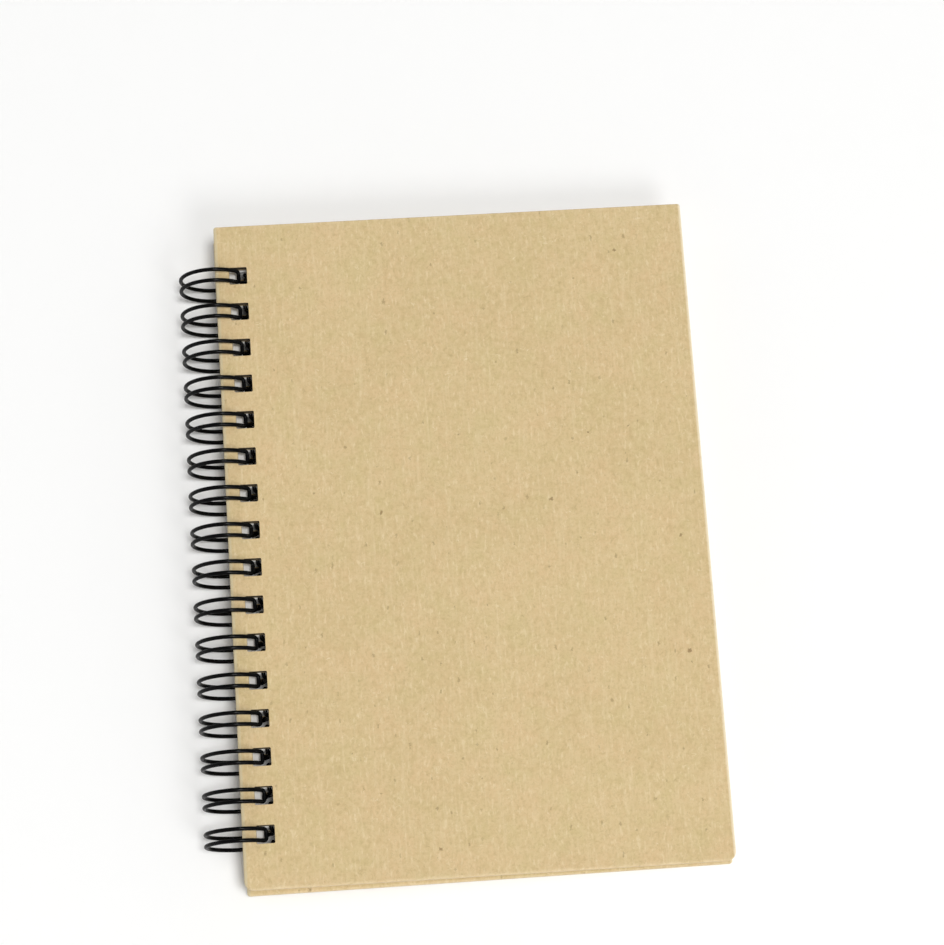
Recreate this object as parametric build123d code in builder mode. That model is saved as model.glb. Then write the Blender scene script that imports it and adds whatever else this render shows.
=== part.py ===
from build123d import *
import os
from math import acos, asin, atan2, cos, degrees, hypot, radians, sin, sqrt

# A closed hardcover notebook bound with twin-loop wire, lying on its loops and on the
# fore edge of its back cover. Millimetres. +X runs from the spine to the fore edge,
# +Y to the head and +Z up. The origin is the middle of the footprint, on the table.

# Leaves, as one block of A6 paper, trimmed on the side that is punched.
page_width = 102.6
page_height = 148.0
page_block_thickness = 6.2

# Covers: a board in a kraft paper wrap, with a lining glued inside. They stand proud of the leaves.
page_setback = 1.9  # at the spine
fore_edge_overhang = 2.5
head_overhang = 1.4  # and the same at the foot
corner_radius = 0.6
knocked_corner_radius = 2.0  # the front cover's foot corners
board_thickness = 1.6
wrap_thickness = 0.2
lining_thickness = 0.15
fold_radius = 0.4  # outer radius where the wrap turns over a board edge
turn_in_width = 14.0
turn_in_showing = 3.0  # strip of turn-in left bare round the lining
lining_corner_radius = 0.5

# Binding wire: pairs of loops, closed at their tips and linked at their roots.
wire_diameter = 0.9
pair_spacing = 2.55  # between the two wires of a pair
loop_outset = 0.6  # the loops' common axis lies this far outside the spine edge
root_bend_radius = 0.8
tip_bend_radius = 0.65
tip_depth = 1.05  # middle of a loop's tip, below the front cover's outside

# One row of square punched holes, the same in the covers and the leaves.
hole_pitch = 25.4 / 3
hole_margin = 3.1  # from a sheet's spine edge to its holes
hole_end_margin = 10.0  # least distance of the end holes' middles from the head and foot
hole_corner_radius = 0.3

# Clearances and slack.
hole_clearance = 0.275  # on each side of a pair of wires in its hole
loop_clearance = 0.23  # between a loop and the strip of cover that it turns round
slant_clearance = 0.15  # between a loop and the far edge of its hole in the back cover
seam_clearance = 0.08  # above and below the root links, which lie under the front cover
seat_clearance = 0.03  # between the front cover and the leaves at the fore edge
stack_clearance = 0.01  # between the back cover and the leaves
back_skew = 0.25  # degrees that the back cover has turned in its slack holes
back_shift_x = -0.18
back_shift_y = -0.2

# Sizes that follow.
cover_width = page_setback + page_width + fore_edge_overhang
cover_height = page_height + 2 * head_overhang
hole_count = int((page_height - 2 * hole_end_margin) // hole_pitch) + 1

# Heights are counted from the loops' axis, square to the leaves.
wire_radius = wire_diameter / 2
cover_thickness = board_thickness + 2 * wrap_thickness + lining_thickness
seam_room = wire_diameter + 2 * seam_clearance
stack_height = 2 * cover_thickness + stack_clearance + page_block_thickness + seam_room
back_outside = -stack_height / 2
loop_radius = hypot(loop_outset + hole_margin, stack_height / 2) + wire_radius + loop_clearance
loop_outer_radius = loop_radius + wire_radius
page_bottom = back_outside + cover_thickness + stack_clearance
page_top = page_bottom + page_block_thickness
link_height = page_top + seam_room / 2

# A hole takes a pair of wires side by side, and the loops' slant through the slack back cover.
pair_room = pair_spacing + wire_diameter + 2 * hole_clearance
back_slack = (hole_count - 1) / 2 * hole_pitch * sin(radians(back_skew)) - back_shift_x
loop_reach = sqrt(loop_outer_radius**2 - page_bottom**2) - loop_outset - hole_margin
hole_size = max(pair_room, loop_reach + back_slack + slant_clearance)

# The root bends start on the loops' circle and reach link_height at their straight link.
root_angle = asin(link_height / hypot(loop_radius, root_bend_radius)) - atan2(root_bend_radius, loop_radius)
link_x = loop_radius * cos(root_angle) - root_bend_radius * sin(root_angle)

# The links prop the front cover up at the spine, and it meets the leaves at the fore edge.
page_fore_edge = loop_outset + page_setback + page_width
wedge_angle = asin((seam_room - seat_clearance) / (page_fore_edge - link_x))
front_inside = link_x * sin(wedge_angle) + link_height * cos(wedge_angle) + seam_room / 2
front_outside = front_inside + cover_thickness

# The tip of a pair is a bend, a straight and a bend, which end in the front cover's hole.
tip_reach = hypot(loop_radius, tip_bend_radius)
tip_angle = asin((front_outside - tip_depth) / tip_reach) + atan2(tip_bend_radius, loop_radius)

# At rest the table touches the loops and the back cover's fore edge.
cover_fore_edge = loop_outset + cover_width
fore_edge_reach = hypot(cover_fore_edge, back_outside)
rest_slope = atan2(cover_fore_edge, -back_outside) - acos(loop_outer_radius / fore_edge_reach)
front_slope = rest_slope + wedge_angle

# The loops' axis, placed so that the origin is the middle of the footprint.
skew_reach = (cover_height / 2 - corner_radius) * sin(radians(back_skew))
back_reach = (cover_fore_edge + back_shift_x) * cos(rest_slope) + skew_reach
front_reach = cover_fore_edge * cos(front_slope) + front_outside * sin(front_slope)
axis_x = (loop_outer_radius - max(back_reach, front_reach)) / 2
axis_z = loop_outer_radius

# Sheets of a cover, counted inwards from its outside face.
folded_thickness = board_thickness + 2 * wrap_thickness
window_width = cover_width - 2 * turn_in_width
window_height = cover_height - 2 * turn_in_width


def level_plane(slope, facing=1):
    """Plane through the loops' axis, X towards the fore edge and falling by slope (radians).

    Its Z points up, or down where facing is -1.
    """
    up = Vector(sin(slope), 0, cos(slope))
    return Plane(origin=(axis_x, 0, axis_z), x_dir=(cos(slope), 0, -sin(slope)), z_dir=up * facing)


def radial_plane(angle):
    """Plane through the loops' axis at angle (radians) above the leaves, X outwards."""
    turned = angle - rest_slope
    outwards = (cos(turned), 0, sin(turned))
    onwards = (-sin(turned), 0, cos(turned))
    return Plane(origin=(axis_x, 0, axis_z), x_dir=outwards, z_dir=onwards)


def cover_outline(outside, inset, head_radius, foot_radius):
    """Outline of a cover on its outside plane, drawn inset from its edges, with rounded corners."""
    with Locations((loop_outset + cover_width / 2, 0)):
        Rectangle(cover_width - 2 * inset, cover_height - 2 * inset)
    low_radius, high_radius = foot_radius, head_radius
    if outside.y_dir.Y < 0:
        low_radius, high_radius = head_radius, foot_radius
    fillet(vertices().group_by(Axis.Y)[0], low_radius)
    fillet(vertices().group_by(Axis.Y)[-1], high_radius)


def window_outline(inset):
    """The rectangle that the turn-ins leave open, drawn inset from their edges."""
    with Locations((loop_outset + cover_width / 2, 0)):
        Rectangle(window_width - 2 * inset, window_height - 2 * inset)


def hole_row(spine_edge):
    """The row of square holes of a sheet whose spine edge is at spine_edge."""
    with Locations((spine_edge + hole_margin + hole_size / 2, 0)):
        with GridLocations(0, hole_pitch, 1, hole_count):
            RectangleRounded(hole_size, hole_size, hole_corner_radius)


def rounded_slab(outside, inset, foot_radius):
    """A cover's blank with soft long edges, inset on every side, without its holes."""
    with BuildPart() as slab:
        with BuildSketch(outside.offset(inset)):
            cover_outline(outside, inset, corner_radius - inset, foot_radius - inset)
        extrude(amount=folded_thickness - 2 * inset)
        broad_faces = slab.faces().filter_by(Axis((0, 0, 0), outside.z_dir))
        fillet(broad_faces.edges(), fold_radius - inset)
    return slab


def cover_board(outside, foot_radius):
    """The stiff board, one wrap's thickness inside the cover's outside."""
    with BuildPart() as board:
        add(rounded_slab(outside, wrap_thickness, foot_radius).part)
        with BuildSketch(outside):
            hole_row(loop_outset)
        extrude(amount=cover_thickness, mode=Mode.SUBTRACT)
    return board


def cover_wrap(outside, foot_radius):
    """The kraft wrap: over the outside, round the four edges and in by turn_in_width."""
    with BuildPart() as wrap:
        add(rounded_slab(outside, 0, foot_radius).part)
        add(rounded_slab(outside, wrap_thickness, foot_radius).part, mode=Mode.SUBTRACT)
        with BuildSketch(outside.offset(wrap_thickness + board_thickness)):
            window_outline(0)
        extrude(amount=wrap_thickness, mode=Mode.SUBTRACT)
        with BuildSketch(outside):
            hole_row(loop_outset)
        extrude(amount=cover_thickness, mode=Mode.SUBTRACT)
    return wrap


def cover_lining(outside):
    """The lining: on the board inside the window, up the turn-ins' edges and over them."""
    with BuildPart() as lining:
        with BuildSketch(outside.offset(folded_thickness)):
            cover_outline(outside, turn_in_showing, lining_corner_radius, lining_corner_radius)
        extrude(amount=lining_thickness)
        with BuildSketch(outside.offset(folded_thickness - wrap_thickness)):
            window_outline(0)
        extrude(amount=wrap_thickness)
        with BuildSketch(outside.offset(folded_thickness - wrap_thickness + lining_thickness)):
            window_outline(lining_thickness)
        extrude(amount=wrap_thickness, mode=Mode.SUBTRACT)
        with BuildSketch(outside):
            hole_row(loop_outset)
        extrude(amount=cover_thickness, mode=Mode.SUBTRACT)
    return lining


def sheet_pieces(name, outside, foot_radius):
    """A cover's three pieces by node name, from the plane of its outside face, Z inwards."""
    return {
        f"{name}_board": cover_board(outside, foot_radius),
        f"{name}_wrap": cover_wrap(outside, foot_radius),
        f"{name}_lining": cover_lining(outside),
    }


# The back cover lies under the leaves, a little turned and shifted by the slack of its holes.
back_level = level_plane(rest_slope)
back_origin = back_level.from_local_coords((back_shift_x, back_shift_y, back_outside))
back_straight = Plane(origin=back_origin, x_dir=back_level.x_dir, z_dir=back_level.z_dir)
back_plane = back_straight.rotated((0, 0, back_skew))

# The front cover's plane looks down into the book, which mirrors its Y. Its foot corners are knocked
# round by use.
front_plane = level_plane(front_slope, facing=-1).offset(-front_outside)

pieces = {
    **sheet_pieces("back_cover", back_plane, corner_radius),
    **sheet_pieces("front_cover", front_plane, knocked_corner_radius),
}

# The leaves: one block, with the holes that the loops run through.
page_spine_edge = loop_outset + page_setback
with BuildPart() as page_block:
    with BuildSketch(level_plane(rest_slope).offset(page_bottom)):
        with Locations((page_spine_edge + page_width / 2, 0)):
            Rectangle(page_width, page_height)
        with Locations((page_spine_edge + hole_margin + hole_size / 2, 0)):
            with GridLocations(0, hole_pitch, 1, hole_count):
                RectangleRounded(hole_size, hole_size, hole_corner_radius, mode=Mode.SUBTRACT)
    extrude(amount=page_block_thickness)
pieces["page_block"] = page_block


def wire_link(plane, half_span, bend_radius, ahead):
    """A bend, a straight and a bend between two wires, each half_span from the plane's middle.

    It bulges along the plane's Z where ahead is 1, and against it where ahead is -1.
    """
    half_straight = half_span - bend_radius
    with BuildPart() as link:
        for side in (1, -1):
            bend_centre = plane.from_local_coords((loop_radius, side * half_straight, 0))
            with BuildSketch(plane):
                with Locations((loop_radius, side * half_span)):
                    Circle(wire_radius)
            revolve(axis=Axis(bend_centre, plane.x_dir * side * ahead), revolution_arc=90)
        straight_middle = plane.from_local_coords((loop_radius, 0, ahead * bend_radius))
        with BuildSketch(Plane(origin=straight_middle, z_dir=(0, 1, 0))):
            Circle(wire_radius)
        extrude(amount=half_straight, both=True)
    return link


# One pair of loops: two turns from the roots, under the back cover and over the top, to
# the tip that joins them. A root link joins two neighbouring pairs.
root_plane = radial_plane(root_angle)
tip_plane = radial_plane(tip_angle)
loop_sweep = 360 - degrees(tip_angle - root_angle)
tip_link = wire_link(tip_plane, pair_spacing / 2, tip_bend_radius, -1)
root_link = wire_link(root_plane, (hole_pitch - pair_spacing) / 2, root_bend_radius, 1)
with BuildPart() as loop_pair:
    with BuildSketch(root_plane):
        with Locations((loop_radius, pair_spacing / 2), (loop_radius, -pair_spacing / 2)):
            Circle(wire_radius)
    revolve(axis=Axis((axis_x, 0, axis_z), (0, 1, 0)), revolution_arc=loop_sweep)
    add(tip_link.part)

with BuildPart() as binding_wire:
    with GridLocations(0, hole_pitch, 1, hole_count):
        add(loop_pair.part)
    with GridLocations(0, hole_pitch, 1, hole_count - 1):
        add(root_link.part)
pieces["binding_wire"] = binding_wire

os.makedirs("parts", exist_ok=True)
for name, piece in pieces.items():
    piece.part.label = name
    export_step(piece.part, f"parts/{name}.step")

# The covers turn about the loops' axis, from closed until the fore edge meets the table.
opening_range = 180 + degrees(front_slope + rest_slope)
print("loops' axis at x", axis_x, "z", axis_z)
print("covers open to", opening_range, "degrees")
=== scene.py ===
import bpy
import numpy as np
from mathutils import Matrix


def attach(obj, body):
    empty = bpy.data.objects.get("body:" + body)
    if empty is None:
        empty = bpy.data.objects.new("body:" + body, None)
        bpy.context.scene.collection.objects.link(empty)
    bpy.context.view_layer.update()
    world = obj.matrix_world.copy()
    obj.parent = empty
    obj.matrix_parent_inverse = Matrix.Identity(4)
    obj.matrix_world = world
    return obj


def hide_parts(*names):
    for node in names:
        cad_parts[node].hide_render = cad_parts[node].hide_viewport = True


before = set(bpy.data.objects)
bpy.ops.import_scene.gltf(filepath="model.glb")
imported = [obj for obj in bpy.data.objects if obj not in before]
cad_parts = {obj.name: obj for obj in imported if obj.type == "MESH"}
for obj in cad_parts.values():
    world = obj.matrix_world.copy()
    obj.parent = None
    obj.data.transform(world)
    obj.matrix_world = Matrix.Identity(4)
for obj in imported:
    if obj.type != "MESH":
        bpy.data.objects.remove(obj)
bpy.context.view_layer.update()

# Back cover: the root of the book, a 1.6 mm board of recycled pulp cased in natural kraft paper.
# The board is coloured almost black, as painted shade for the shadowed walls of the punched holes.
# The paper is glued over the outside, turned in round the four edges and lined inside, and the
# holes are punched through it all afterwards.
COVER_WIDTH, COVER_HEIGHT = 0.107, 0.1508
COVER_MIDDLE = 0.0541  # across, from the loops' axis
BACK_SKEW = np.radians(0.25)
BACK_SHIFT = (-0.00018, -0.0002)  # across and along, in its slack holes

# The book lies on its wire loops and on this cover's fore edge, so its leaves fall to the fore
# edge by the rest slope. Places in it are counted from the loops' axis: across from the spine,
# along to the head, and up square to the leaves.
AXIS_X, AXIS_Z = -0.049866487, 0.007997039
REST_SLOPE = np.radians(1.17862055)

KRAFT = {
    "plain": (0.621, 0.469, 0.248, 1),
    "clear": (0.651, 0.497, 0.268, 1),
    "rose": (0.678, 0.488, 0.270, 1),
    "olive": (0.594, 0.484, 0.238, 1),
    "pale mottle": (0.717, 0.570, 0.331, 1),
    "dark mottle": (0.528, 0.391, 0.194, 1),
    "matted": (0.486, 0.358, 0.170, 1),
    "pale dash": (0.805, 0.671, 0.431, 1),
    "dark dash": (0.466, 0.338, 0.156, 1),
    "streak": (0.756, 0.618, 0.384, 1),
    "pale hair": (0.834, 0.715, 0.484, 1),
    "dark hair": (0.368, 0.256, 0.114, 1),
    "bark": (0.183, 0.102, 0.030, 1),
    "mark": (0.317, 0.222, 0.102, 1),
    # Paler edges: partly wear, partly a painted highlight on the folds.
    "worn_and_highlit_edge": (0.776, 0.642, 0.422, 1),
    # Painted shading on the fold at the spine.
    "spine_fold_shading": (0.600, 0.515, 0.330, 1),
    # Painted cream highlight along the fold of the fore edge.
    "fore_edge_highlight": (0.877, 0.773, 0.569, 1),
}
# Board colours: plies and flecks, all kept near black to paint in the shade on the punched holes'
# walls.
SHADED_BOARD_DARK, SHADED_BOARD_LIGHT = (0.048, 0.032, 0.018, 1), (0.095, 0.068, 0.042, 1)
SHADED_BOARD_FLECK = (0.170, 0.130, 0.085, 1)
LINING_PLAIN, LINING_CLEAR = (0.606, 0.470, 0.268, 1), (0.651, 0.516, 0.301, 1)
LINING_PALE, LINING_DARK = (0.722, 0.594, 0.379, 1), (0.486, 0.362, 0.190, 1)
LINING_RIB = (0.698, 0.570, 0.350, 1)


def new_finish(name, **fixed):
    """A new material. Fixed gives its shader's constant values, with _ for a space. Returns the
    material, make, which adds a node, links or sets its inputs and returns an output, and feed,
    which links an output to one of the shader's inputs."""
    material = bpy.data.materials.new(name)
    material.use_nodes = True
    tree = material.node_tree
    shader = tree.nodes["Principled BSDF"]
    for socket, value in fixed.items():
        shader.inputs[socket.replace("_", " ")].default_value = value

    def make(kind, *values, inputs=None, output=0, **settings):
        node = tree.nodes.new("ShaderNode" + kind)
        for key, value in settings.items():
            setattr(node, key, value)
        for key, value in {**dict(enumerate(values)), **(inputs or {})}.items():
            if isinstance(value, bpy.types.NodeSocket):
                tree.links.new(value, node.inputs[key])
            else:
                node.inputs[key].default_value = value
        return node.outputs[output]

    def feed(socket, value):
        tree.links.new(value, shader.inputs[socket])

    return material, make, feed


def maths(make, operation, a, b=0.0, c=0.0):
    """One step of arithmetic on up to three values."""
    return make("Math", a, b, c, operation=operation)


def times(make, a, b):
    """The product of two values."""
    return maths(make, "MULTIPLY", a, b)


def tint(make, amount, colour, other):
    """A colour mixed towards another by an amount from 0 to 1."""
    return make("Mix", amount, inputs={6: colour, 7: other}, output=2, data_type="RGBA")


def step(make, value, low, high, to_low=0.0, to_high=1.0):
    """A smooth step from to_low to to_high as value goes from low to high."""
    return make("MapRange", value, low, high, to_low, to_high, interpolation_type="SMOOTHSTEP")


def noise(make, where, scale, detail=2.0, rough=0.5, twist=0.0):
    """Fractal noise from 0 to 1, at scale features per metre."""
    shape = {"Scale": scale, "Detail": detail, "Roughness": rough, "Distortion": twist}
    return make("TexNoise", inputs={"Vector": where, **shape})


def stretch(make, where, across, along, up=1.0):
    """A place scaled along its three axes, so that what is drawn on it grows where it shrinks."""
    return make("Mapping", where, inputs={"Scale": (across, along, up)})


def relief(make, height, strength, depth):
    """A normal tilted by the slope of a height from 0 to 1 over a depth in metres."""
    return make("Bump", inputs={"Strength": strength, "Distance": depth, "Height": height})


def cover_place(make, slope, skew=0.0, shift=(0.0, 0.0)):
    """Object coordinates turned into a cover's own: the slope and then the skew are undone by
    turns about the along and up axes, and the cover's shifted middle becomes the zero point."""
    middle = np.array([COVER_MIDDLE + shift[0], shift[1], 0])
    level = np.array([
        [np.cos(slope), 0, -np.sin(slope)],
        [0, 1, 0],
        [np.sin(slope), 0, np.cos(slope)],
    ])
    straight = np.array([
        [np.cos(skew), np.sin(skew), 0],
        [-np.sin(skew), np.cos(skew), 0],
        [0, 0, 1],
    ])
    start = straight @ (level @ np.array([AXIS_X, 0, AXIS_Z]) + middle)
    turn = {"Location": tuple(-start), "Rotation": (0, -slope, -skew)}
    return make("Mapping", make("TexCoord", output=3), inputs=turn)


def hair_on(make, line, width, pick, low, high):
    """Hairs: 1 within a width of a wandering line, where the pick has passed from low to high."""
    return times(make, step(make, line, 0.0, width, 1.0, 0.0), step(make, pick, low, high))


def specks_on(make, where, scale, ragged, roughness, size, spread, soft, drawn):
    """Specks: a cell's point grown to a size, plus a spread drawn for the cell, its outline broken
    by a ragged pattern and softened between two values, in the cells drawn between two values."""
    cells = make("TexVoronoi", inputs={"Vector": where, "Scale": scale}, voronoi_dimensions="2D")
    draw = make("SeparateColor", cells.node.outputs["Color"]).node
    edge = maths(make, "MULTIPLY_ADD", draw.outputs[1], spread, size)
    distance = maths(make, "MULTIPLY_ADD", ragged, roughness, cells.node.outputs["Distance"])
    grown = step(make, maths(make, "SUBTRACT", edge, distance), *soft)
    return times(make, grown, step(make, draw.outputs[0], *drawn))


def edge_on(make, outside, inner, outer, pattern, low, high, least, most):
    """A band by an edge, for wear and for painted shading and highlights on the folds: a step of
    the distance outside it, from inner to outer, times a step of a patchy pattern between least and
    most."""
    patches = step(make, pattern, low, high, least, most)
    return times(make, step(make, outside, inner, outer), patches)


def kraft_wrap(name, slope, skew=0.0, shift=(0.0, 0.0), seed=0.0):
    """Natural kraft paper: a tan base clouded towards rose and olive, fine matted fibre, streaks
    along the grain, short pale and dark hairs, bark specks and softer marks, edges paler where
    worn and with a painted highlight on their folds, painted shading on the fold at the spine and
    a painted cream highlight along the fold of the fore edge."""
    material, make, feed = new_finish(
        name, Specular_IOR_Level=0.28, Sheen_Weight=0.06, Sheen_Roughness=0.5
    )
    place = cover_place(make, slope, skew, shift)
    sown = make("Mapping", place, (seed, seed * 0.7, 0.0))

    clouds = noise(make, sown, 42.0, 2.0, 0.55)
    warmth = noise(make, make("Mapping", sown, (0.31, 0.17, 0.05)), 130.0, 4.0, 0.65)
    mottle = noise(make, sown, 700.0, 3.0, 0.65, 0.5)
    matted = noise(make, sown, 1700.0, 3.0, 0.7, 0.6)
    dashes = noise(make, stretch(make, sown, 1.0, 0.34), 1500.0, 2.0, 0.6, 0.2)
    streaks = noise(make, stretch(make, sown, 1.0, 0.08), 1300.0, 2.0, 0.6)
    base = tint(make, step(make, clouds, 0.3, 0.7), KRAFT["plain"], KRAFT["clear"])
    for pattern, low, high, most, colour in (
        (warmth, 0.48, 0.68, 0.60, "rose"),
        (warmth, 0.52, 0.32, 0.50, "olive"),
        (mottle, 0.42, 0.64, 0.36, "pale mottle"),
        (mottle, 0.46, 0.30, 0.38, "dark mottle"),
        (matted, 0.52, 0.34, 0.36, "matted"),
        (dashes, 0.56, 0.72, 0.38, "pale dash"),
        (dashes, 0.42, 0.28, 0.27, "dark dash"),
        (streaks, 0.52, 0.72, 0.24, "streak"),
    ):
        base = tint(make, step(make, pattern, low, high, 0.0, most), base, KRAFT[colour])

    wander = noise(make, sown, 420.0, 1.0, 0.5, 1.4)
    hair_line = maths(make, "ABSOLUTE", maths(make, "SUBTRACT", wander, 0.5))
    hair_pick = noise(make, sown, 300.0, 1.0, 0.5)
    pale_hair = hair_on(make, hair_line, 0.012, hair_pick, 0.56, 0.66)
    dark_hair = hair_on(make, hair_line, 0.010, hair_pick, 0.44, 0.34)
    bark = specks_on(
        make, sown, 105.0, matted, 0.16, 0.088, 0.040, soft=(-0.012, 0.016), drawn=(0.80, 0.90)
    )
    elsewhere = make("Mapping", sown, (0.13, 0.41, 0.0), inputs={"Scale": (1.0, 0.55, 1.0)})
    marks = specks_on(
        make, elsewhere, 270.0, matted, 0.30, 0.17, 0.06, soft=(-0.02, 0.03), drawn=(0.55, 0.85)
    )

    sides = make("SeparateXYZ", place).node
    beyond = [
        maths(make, "SUBTRACT", maths(make, "ABSOLUTE", side), length / 2)
        for side, length in zip(sides.outputs, (COVER_WIDTH, COVER_HEIGHT))
    ]
    past_edge = maths(make, "MAXIMUM", *beyond)
    past_spine = maths(make, "SUBTRACT", -COVER_WIDTH / 2, sides.outputs[0])
    past_fore_edge = maths(make, "SUBTRACT", sides.outputs[0], COVER_WIDTH / 2)
    # Paler band round all edges: partly wear, partly a painted highlight on the folds.
    worn_and_highlit_edge = edge_on(make, past_edge, -0.0008, -0.0001, mottle, 0.30, 0.62, 0.25, 1.0)
    # Painted shading on the spine's fold.
    spine_fold_shading = edge_on(make, past_spine, -0.0009, -0.0005, mottle, 0.25, 0.6, 0.4, 0.8)
    # Painted highlight along the fore edge's fold.
    fore_edge_highlight = edge_on(make, past_fore_edge, -0.0007, -0.0002, mottle, 0.2, 0.5, 0.6, 1.0)
    for pattern, most, colour in (
        (pale_hair, 0.50, "pale hair"),
        (dark_hair, 0.40, "dark hair"),
        (bark, 0.62, "bark"),
        (marks, 0.55, "mark"),
        (worn_and_highlit_edge, 0.35, "worn_and_highlit_edge"),
        (spine_fold_shading, 1.0, "spine_fold_shading"),
        (fore_edge_highlight, 0.7, "fore_edge_highlight"),
    ):
        base = tint(make, times(make, pattern, most), base, KRAFT[colour])

    fibre = maths(make, "MULTIPLY_ADD", dashes, 0.6, matted)
    height = maths(make, "MULTIPLY_ADD", pale_hair, 0.35, fibre)
    feed("Base Color", base)
    feed("Normal", relief(make, height, 0.35, 0.00004))
    feed("Roughness", step(make, matted, 0.3, 0.7, 0.74, 0.9))
    return material


def shaded_pulp_board(name, slope):
    """Pulp board, seen at the punched edges, coloured near black as painted shade for the holes'
    walls: plies, which are a noise drawn out ten times along the cover, and flecks where a second
    noise is high."""
    material, make, feed = new_finish(name, Roughness=0.9)
    place = cover_place(make, slope)
    plies = noise(make, stretch(make, place, 0.1, 0.1), 5200.0, 2.0, 0.6)
    pulp = noise(make, place, 1500.0, 3.0, 0.7)
    base = tint(make, step(make, plies, 0.35, 0.65), SHADED_BOARD_DARK, SHADED_BOARD_LIGHT)
    base = tint(make, step(make, pulp, 0.58, 0.72, 0.0, 0.6), base, SHADED_BOARD_FLECK)
    feed("Base Color", base)
    feed("Normal", relief(make, maths(make, "ADD", plies, pulp), 0.5, 0.00006))
    return material


def lining_paper(name, slope):
    """Smooth kraft lining, pasted down inside: clouds from plain to clear, pulp that is pale where
    it is thick and dark where it is thin, and faint ribs stretched along the cover."""
    material, make, feed = new_finish(name, Roughness=0.86)
    place = cover_place(make, slope)
    ribs = noise(make, stretch(make, place, 1.0, 0.05), 900.0, 2.0, 0.5)
    clouds = noise(make, place, 60.0, 3.0, 0.6)
    pulp = noise(make, place, 1700.0, 3.0, 0.7, 0.5)
    base = tint(make, step(make, clouds, 0.3, 0.7), LINING_PLAIN, LINING_CLEAR)
    base = tint(make, step(make, pulp, 0.55, 0.75, 0.0, 0.45), base, LINING_PALE)
    base = tint(make, step(make, pulp, 0.45, 0.27, 0.0, 0.40), base, LINING_DARK)
    base = tint(make, step(make, ribs, 0.52, 0.70, 0.0, 0.30), base, LINING_RIB)
    feed("Base Color", base)
    feed("Normal", relief(make, maths(make, "ADD", ribs, pulp), 0.3, 0.00003))
    return material


def refinish(node, material):
    """Gives a CAD piece its finish, in every material slot it has."""
    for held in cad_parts[node].material_slots:
        held.material = material


back_kraft = kraft_wrap("back_kraft_wrap", REST_SLOPE, BACK_SKEW, BACK_SHIFT, seed=0.43)
refinish("back_cover_board", shaded_pulp_board("back_shaded_pulp_board", REST_SLOPE))
refinish("back_cover_wrap", back_kraft)
refinish("back_cover_lining", lining_paper("back_lining_paper", REST_SLOPE))

# Leaves: 62 sheets of uncoated A6 writing paper, trimmed at the spine, ruled on both sides with
# sixteen thin grey lines and punched with one row of square holes. They are jogged together by
# hand, so that no two edges quite line up.
SHEET_COUNT = 62
SHEET_PITCH, SHEET_THICKNESS = 0.0001, 0.000094
LEAF_WIDTH, LEAF_HEIGHT = 0.1026, 0.148
LEAF_SPINE_EDGE = 0.0025  # across, from the loops' axis
LEAVES_BOTTOM = -0.003625  # up, from the loops' axis
HOLE_PITCH, HOLE_COUNT = 0.0254 / 3, 16
HOLE_SIZE, HOLE_MARGIN = 0.0040353, 0.0031
MID_SHEET_LINES = (0.0295, 0.0635)  # from the spine edge, where the long cells are divided
JOG_SLIDE, MOST_SLIDE = 0.00005, 0.00012
JOG_TURN, MOST_TURN = 0.0003, 0.0006  # radians
RULE_PITCH, RULE_WIDTH = 0.008, 0.00022
RULE_MARGIN = 0.0022  # from the holes and from the fore edge
RULED_HALF_HEIGHT = 0.0605
PAPER_PLAIN, PAPER_CLEAR = (0.790, 0.780, 0.755, 1), (0.830, 0.822, 0.800, 1)
PAPER_PULP, RULE_GREY = (0.72, 0.70, 0.66, 1), (0.335, 0.335, 0.345, 1)


def book_points(across, along, up):
    """Places in the book as points of the frame: across and up are turned by the rest slope about
    the loops' axis, and along stays."""
    x = AXIS_X + across * np.cos(REST_SLOPE) + up * np.sin(REST_SLOPE)
    z = AXIS_Z - across * np.sin(REST_SLOPE) + up * np.cos(REST_SLOPE)
    return np.stack(np.broadcast_arrays(x, along, z), axis=-1)


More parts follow.
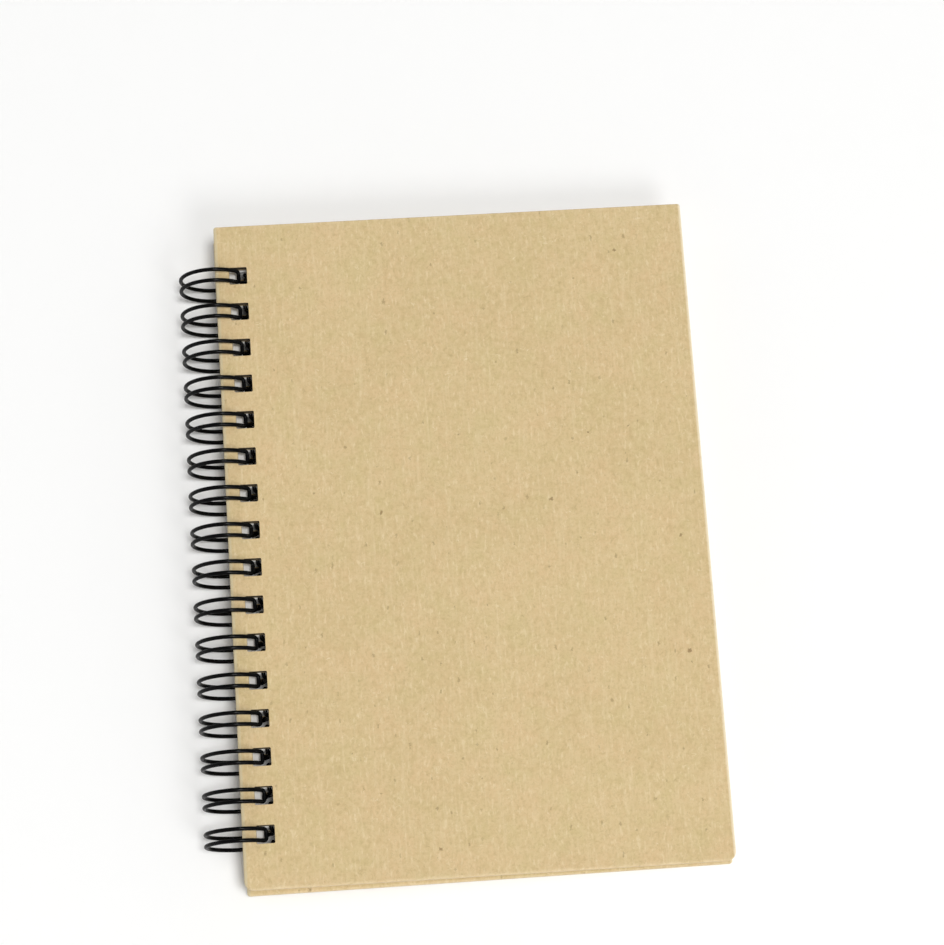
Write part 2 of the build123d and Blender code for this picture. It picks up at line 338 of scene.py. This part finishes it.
def leaf_stack(seed):
    """Sheets as one grid each: lines across at the spine edge, the two sides of the holes, two in
    mid sheet and the fore edge, and lines along at the head, the foot and the holes' sides. The
    grid has an upper and a lower layer, the cells over the holes are left out, and a wall closes
    every edge where a cell is missing on one side. A seeded draw slides and turns each sheet."""
    random = np.random.default_rng(seed)
    hole_sides = HOLE_MARGIN + np.array([0, HOLE_SIZE])
    across = LEAF_SPINE_EDGE + np.array([0, *hole_sides, *MID_SHEET_LINES, LEAF_WIDTH])
    middles = (np.arange(HOLE_COUNT) - (HOLE_COUNT - 1) / 2) * HOLE_PITCH
    sides = (middles[:, None] + np.array([-HOLE_SIZE / 2, HOLE_SIZE / 2])).ravel()
    along = np.concatenate([[-LEAF_HEIGHT / 2], sides, [LEAF_HEIGHT / 2]])
    columns, rows = len(across), len(along)
    kept = np.ones((columns - 1, rows - 1), bool)
    kept[1, 1::2] = False

    index = np.arange(2 * columns * rows).reshape(2, columns, rows)
    low, high = index
    quads = [
        np.stack([layer[:-1, :-1], layer[1:, :-1], layer[1:, 1:], layer[:-1, 1:]], -1)[kept]
        for layer in (high, low)
    ]
    quads[1] = quads[1][:, ::-1]
    framed = np.pad(kept, 1).astype(int)
    starts_across = np.diff(framed, axis=0)[:, 1:-1]
    starts_along = np.diff(framed, axis=1)[1:-1]
    across_wall = np.stack([high[:, :-1], high[:, 1:], low[:, 1:], low[:, :-1]], -1)
    along_wall = np.stack([high[:-1], high[1:], low[1:], low[:-1]], -1)
    quads += [
        across_wall[starts_across == 1],
        across_wall[starts_across == -1][:, ::-1],
        along_wall[starts_along == 1][:, ::-1],
        along_wall[starts_along == -1],
    ]
    quads = np.concatenate(quads)

    slide = random.normal(0, JOG_SLIDE, (2, SHEET_COUNT, 1, 1, 1)).clip(-MOST_SLIDE, MOST_SLIDE)
    turn = random.normal(0, JOG_TURN, (SHEET_COUNT, 1, 1, 1)).clip(-MOST_TURN, MOST_TURN)
    x, y = across[:, None], along
    middle = LEAVES_BOTTOM + (np.arange(SHEET_COUNT)[:, None] + 0.5) * SHEET_PITCH
    up = (middle + np.array([-0.5, 0.5]) * SHEET_THICKNESS)[:, :, None, None]
    places = np.broadcast_arrays(x - turn * y + slide[0], y + turn * x + slide[1], up)
    faces = quads + np.arange(SHEET_COUNT)[:, None, None] * index.size
    return book_points(*places).reshape(-1, 3), [faces.reshape(-1, 4)]


def new_piece(name, points, faces, smooth):
    """A mesh object from an array of points and a list of arrays of faces."""
    mesh = bpy.data.meshes.new(name)
    mesh.from_pydata(points.tolist(), [], sum((some.tolist() for some in faces), []))
    mesh.polygons.foreach_set("use_smooth", np.full(len(mesh.polygons), smooth))
    mesh.update()
    piece = bpy.data.objects.new(name, mesh)
    bpy.context.scene.collection.objects.link(piece)
    return piece


def rules_on(make, place, pulp):
    """Rules: 1 near a whole number of pitches from the first line, fading with the distance from
    it, within the ruled height and clear of the holes and the fore edge, and thin where the pulp
    is thin."""
    parts = make("SeparateXYZ", place).node
    across, along = parts.outputs[0], parts.outputs[1]
    shifted = maths(make, "ADD", along, RULE_PITCH / 2)
    nearest = maths(make, "ROUND", maths(make, "DIVIDE", shifted, RULE_PITCH))
    line_place = maths(make, "MULTIPLY_ADD", nearest, RULE_PITCH, -RULE_PITCH / 2)
    off_line = maths(make, "ABSOLUTE", maths(make, "SUBTRACT", along, line_place))
    line = step(make, off_line, RULE_WIDTH * 0.35, RULE_WIDTH * 0.65, 1.0, 0.0)
    start = LEAF_SPINE_EDGE + HOLE_MARGIN + HOLE_SIZE + RULE_MARGIN
    end = LEAF_SPINE_EDGE + LEAF_WIDTH - RULE_MARGIN
    for limit in (
        maths(make, "GREATER_THAN", across, start),
        maths(make, "LESS_THAN", across, end),
        maths(make, "LESS_THAN", maths(make, "ABSOLUTE", along), RULED_HALF_HEIGHT),
        step(make, pulp, 0.2, 0.6, 0.6, 0.95),
    ):
        line = times(make, line, limit)
    return line


def writing_paper(name):
    """Uncoated off-white paper: faint clouds from plain to clear, darker pulp, and grey rules."""
    material, make, feed = new_finish(name, Roughness=0.9, Specular_IOR_Level=0.25)
    to_axis = -AXIS_X * np.cos(REST_SLOPE) + AXIS_Z * np.sin(REST_SLOPE)
    turn = {"Location": (to_axis, 0.0, 0.0), "Rotation": (0, -REST_SLOPE, 0)}
    place = make("Mapping", make("TexCoord", output=3), inputs=turn)
    clouds = noise(make, place, 90.0, 3.0, 0.6)
    pulp = noise(make, place, 2600.0, 2.0, 0.6)
    base = tint(make, step(make, clouds, 0.3, 0.7), PAPER_PLAIN, PAPER_CLEAR)
    base = tint(make, step(make, pulp, 0.5, 0.8, 0.0, 0.25), base, PAPER_PULP)
    feed("Base Color", tint(make, rules_on(make, place, pulp), base, RULE_GREY))
    feed("Normal", relief(make, pulp, 0.2, 0.00002))
    return material


leaves = new_piece("leaves", *leaf_stack(seed=7), smooth=False)
leaves.data.materials.append(writing_paper("ruled_writing_paper"))
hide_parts("page_block")
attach(leaves, "leaves")

# Binding wire: one length of 0.9 mm steel in a gloss black nylon coat, bent into sixteen pairs of
# loops. It is threaded through the holes and pressed round, so that each pair's closed tip meets
# the links at its roots, and the links stay hidden between the front cover and the leaves.
WIRE_RADIUS, WIRE_CHAMFER = 0.00045, 0.00006
LOOP_RADIUS = 0.007547039
PAIR_HALF = 0.001275
ROOT_BEND, TIP_BEND = 0.0008, 0.00065
ROOT_ANGLE, TIP_ANGLE = np.radians(18.0991749), np.radians(44.3167967)
LOOP_LEAN = 0.017  # share of the drop below its tip by which a loop hangs towards the foot
LOOP_UNEVENNESS = 0.0015  # how much that share differs from pair to pair
LOOP_STEPS, BEND_STEPS, WIRE_SIDES = 57, 8, 14
WIRE_BLACK = (0.0022, 0.0022, 0.0024, 1)


def wire_line(seed):
    """The wire's middle line and the direction square to it that points outward from the axis.
    A loop runs round the axis from its root to its tip. A bend, a straight and a bend in the tip's
    tangent plane join it to its twin, which runs back, and three more in the root's tangent plane
    lead to the next pair. Every point then slips towards the foot in proportion to its drop, and
    by a seeded share of the square of its drop that differs from pair to pair."""
    random = np.random.default_rng(seed)
    head = np.array([0.0, 1.0, 0.0])
    turn = np.linspace(ROOT_ANGLE, TIP_ANGLE - 2 * np.pi, LOOP_STEPS)
    bend = np.linspace(0, np.pi / 2, BEND_STEPS)

    def outward(angle):
        """The direction from the axis at an angle: its cosine across and its sine up."""
        return np.stack([np.cos(angle), 0 * angle, np.sin(angle)], -1)

    def crossing(angle, half_span, radius, ahead):
        """From half_span on the head's side to as far on the foot's, bulging ahead by radius."""
        along = half_span - radius + radius * np.cos(bend)
        along = np.concatenate([along, -along[::-1]])[1:-1, None]
        rise = radius * np.concatenate([np.sin(bend), np.sin(bend[::-1])])[1:-1, None]
        bulge = ahead * rise * outward(angle + np.pi / 2)
        return LOOP_RADIUS * outward(angle) + along * head + bulge

    loop = LOOP_RADIUS * outward(turn)
    tip = crossing(TIP_ANGLE, PAIR_HALF, TIP_BEND, -1)
    link = crossing(ROOT_ANGLE, HOLE_PITCH / 2 - PAIR_HALF, ROOT_BEND, 1) - HOLE_PITCH / 2 * head
    pair = np.concatenate([loop + PAIR_HALF * head, tip, loop[::-1] - PAIR_HALF * head, link])
    facing = np.concatenate([
        outward(turn),
        np.broadcast_to(outward(TIP_ANGLE), tip.shape),
        outward(turn[::-1]),
        np.broadcast_to(outward(ROOT_ANGLE), link.shape),
    ])
    places = ((HOLE_COUNT - 1) / 2 - np.arange(HOLE_COUNT)) * HOLE_PITCH
    line = pair + places[:, None, None] * head
    drop = LOOP_RADIUS * np.sin(TIP_ANGLE) - line[..., 2:]
    share = random.normal(0, LOOP_UNEVENNESS, (HOLE_COUNT, 1, 1))
    uneven = share * drop.clip(0, None) ** 2 / LOOP_RADIUS
    line = line - (LOOP_LEAN * drop + uneven) * head
    kept = HOLE_COUNT * len(pair) - len(link)
    return line.reshape(-1, 3)[:kept], np.tile(facing, (HOLE_COUNT, 1))[:kept]


def wire_tube(line, facing, sides):
    """A circle of the wire's radius carried along the line: its two directions are the outward
    one, squared to the line, and the one square to both. The ends are chamfered and closed."""
    tangent = np.gradient(line, axis=0)
    tangent /= np.linalg.norm(tangent, axis=1, keepdims=True)
    sideways = np.cross(tangent, facing)
    sideways /= np.linalg.norm(sideways, axis=1, keepdims=True)
    outwards = np.cross(sideways, tangent)
    angle = np.linspace(0, 2 * np.pi, sides, endpoint=False)[None, :, None]
    ring = np.cos(angle) * outwards[:, None] + np.sin(angle) * sideways[:, None]
    end_ring = line[[0, -1], None] + (WIRE_RADIUS - WIRE_CHAMFER) * ring[[0, -1]]
    inward = WIRE_CHAMFER * tangent[[0, -1], None] * np.array([1, -1])[:, None, None]
    full_ring = line[[0, -1], None] + inward + WIRE_RADIUS * ring[[0, -1]]
    middle_rings = line[1:-1, None] + WIRE_RADIUS * ring[1:-1]
    rings = np.concatenate([end_ring[:1], full_ring[:1], middle_rings, full_ring[1:], end_ring[1:]])
    index = np.arange(len(rings) * sides).reshape(-1, sides)
    beside = np.roll(index, -1, axis=1)
    quads = np.stack([index[:-1], beside[:-1], beside[1:], index[1:]], -1).reshape(-1, 4)
    start_cap = np.stack([np.full(sides, index.size), beside[0], index[0]], -1)
    end_cap = np.stack([np.full(sides, index.size + 1), index[-1], beside[-1]], -1)
    points = np.concatenate([rings.reshape(-1, 3), line[[0, -1]]])
    return book_points(*points.T), [quads, start_cap, end_cap]


def black_coat(name):
    """Gloss black nylon on steel wire: near black, with the faint unevenness of a dipped coat."""
    material, make, feed = new_finish(
        name, Base_Color=WIRE_BLACK, Specular_IOR_Level=0.03, Coat_Weight=0.12, Coat_Roughness=0.05
    )
    skin = noise(make, make("TexCoord", output=3), 900.0, 2.0, 0.5)
    dips = relief(make, skin, 0.10, 0.00002)
    feed("Roughness", step(make, skin, 0.3, 0.7, 0.28, 0.42))
    feed("Normal", dips)
    feed("Coat Normal", dips)
    return material


loops_tube = wire_tube(*wire_line(seed=3), WIRE_SIDES)
binding_loops = new_piece("binding_loops", *loops_tube, smooth=True)
binding_loops.data.materials.append(black_coat("black_nylon_coat"))
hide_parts("binding_wire")
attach(binding_loops, "leaves")

# Front cover: the same board, wrap and lining as the back, propped up at the spine by the wire's
# links, so that it falls a little more steeply than the leaves. Its foot corners are knocked
# rounder than the rest.
FRONT_SLOPE = np.radians(1.779749)
refinish("front_cover_board", shaded_pulp_board("front_shaded_pulp_board", FRONT_SLOPE))
refinish("front_cover_wrap", kraft_wrap("front_kraft_wrap", FRONT_SLOPE))
refinish("front_cover_lining", lining_paper("front_lining_paper", FRONT_SLOPE))

# The table and its backdrop: one pale sheet of matt card, flat far beyond the book, that rises
# all round it.
FLAT_RADIUS, SHEET_REACH, SHEET_RISE = 4.0, 9.0, 5.0
SHEET_STEPS = 73
CARD_WHITE = (0.96, 0.96, 0.955, 1)


def backdrop_surface():
    """Heights over a square grid: nothing out to the flat radius, and beyond it the square of the
    distance from it over the rise."""
    side = np.linspace(-SHEET_REACH, SHEET_REACH, SHEET_STEPS)
    x, y = np.meshgrid(side, side, indexing="ij")
    beyond = np.clip(np.hypot(x, y) - FLAT_RADIUS, 0, None)
    points = np.stack([x, y, beyond**2 / SHEET_RISE], -1)
    index = np.arange(x.size).reshape(x.shape)
    faces = np.stack([index[:-1, :-1], index[1:, :-1], index[1:, 1:], index[:-1, 1:]], -1)
    return points.reshape(-1, 3), [faces.reshape(-1, 4)]


pale_sheet = new_piece("pale_sheet", *backdrop_surface(), smooth=True)
pale_card, _, _ = new_finish("pale_card", Base_Color=CARD_WHITE, Roughness=0.95)
pale_sheet.data.materials.append(pale_card)

# Soft studio light: an even white surround, broad light from high over the fore edge and foot that
# reaches into the holes, and a lamp further out the same way that softens the shade by the loops.
SURROUND_WHITE, SURROUND_STRENGTH = (1.0, 0.995, 0.985, 1), 0.20

world = bpy.data.worlds.new("studio_surround")
world.use_nodes = True
surround = world.node_tree.nodes["Background"]
surround.inputs["Color"].default_value = SURROUND_WHITE
surround.inputs["Strength"].default_value = SURROUND_STRENGTH
bpy.context.scene.world = world


def studio_lamp(name, kind, place, energy):
    """A lamp at place, turned to face the origin: tilted by the angle between place and straight
    up, and then turned by the angle of place round the upright."""
    lamp = bpy.data.lights.new(name, kind)
    lamp.energy = energy
    holder = bpy.data.objects.new(name, lamp)
    bpy.context.scene.collection.objects.link(holder)
    x, y, z = holder.location = place
    holder.rotation_euler = (float(np.arctan2(np.hypot(x, y), z)), 0.0, float(np.arctan2(x, -y)))
    return lamp


studio_lamp("top_light", "SUN", (0.23, -0.17, 1.35), 1.67).angle = np.radians(15)
studio_lamp("side_lamp", "AREA", (0.45, -0.80, 0.95), 4.6).size = 0.5

# Camera: a long lens that looks down on the book from over its foot.
camera = bpy.data.cameras.new("camera")
camera.sensor_fit = "HORIZONTAL"
camera.sensor_width = 36.0
camera.lens = 112.5
camera.clip_start = 0.01
viewpoint = bpy.data.objects.new("camera", camera)
bpy.context.scene.collection.objects.link(viewpoint)
viewpoint.location = (-0.00759, -0.14222, 0.65377)
viewpoint.rotation_euler = np.radians((13.777, -0.29, -3.782))
bpy.context.scene.camera = viewpoint
bpy.context.scene.view_settings.view_transform = "Standard"
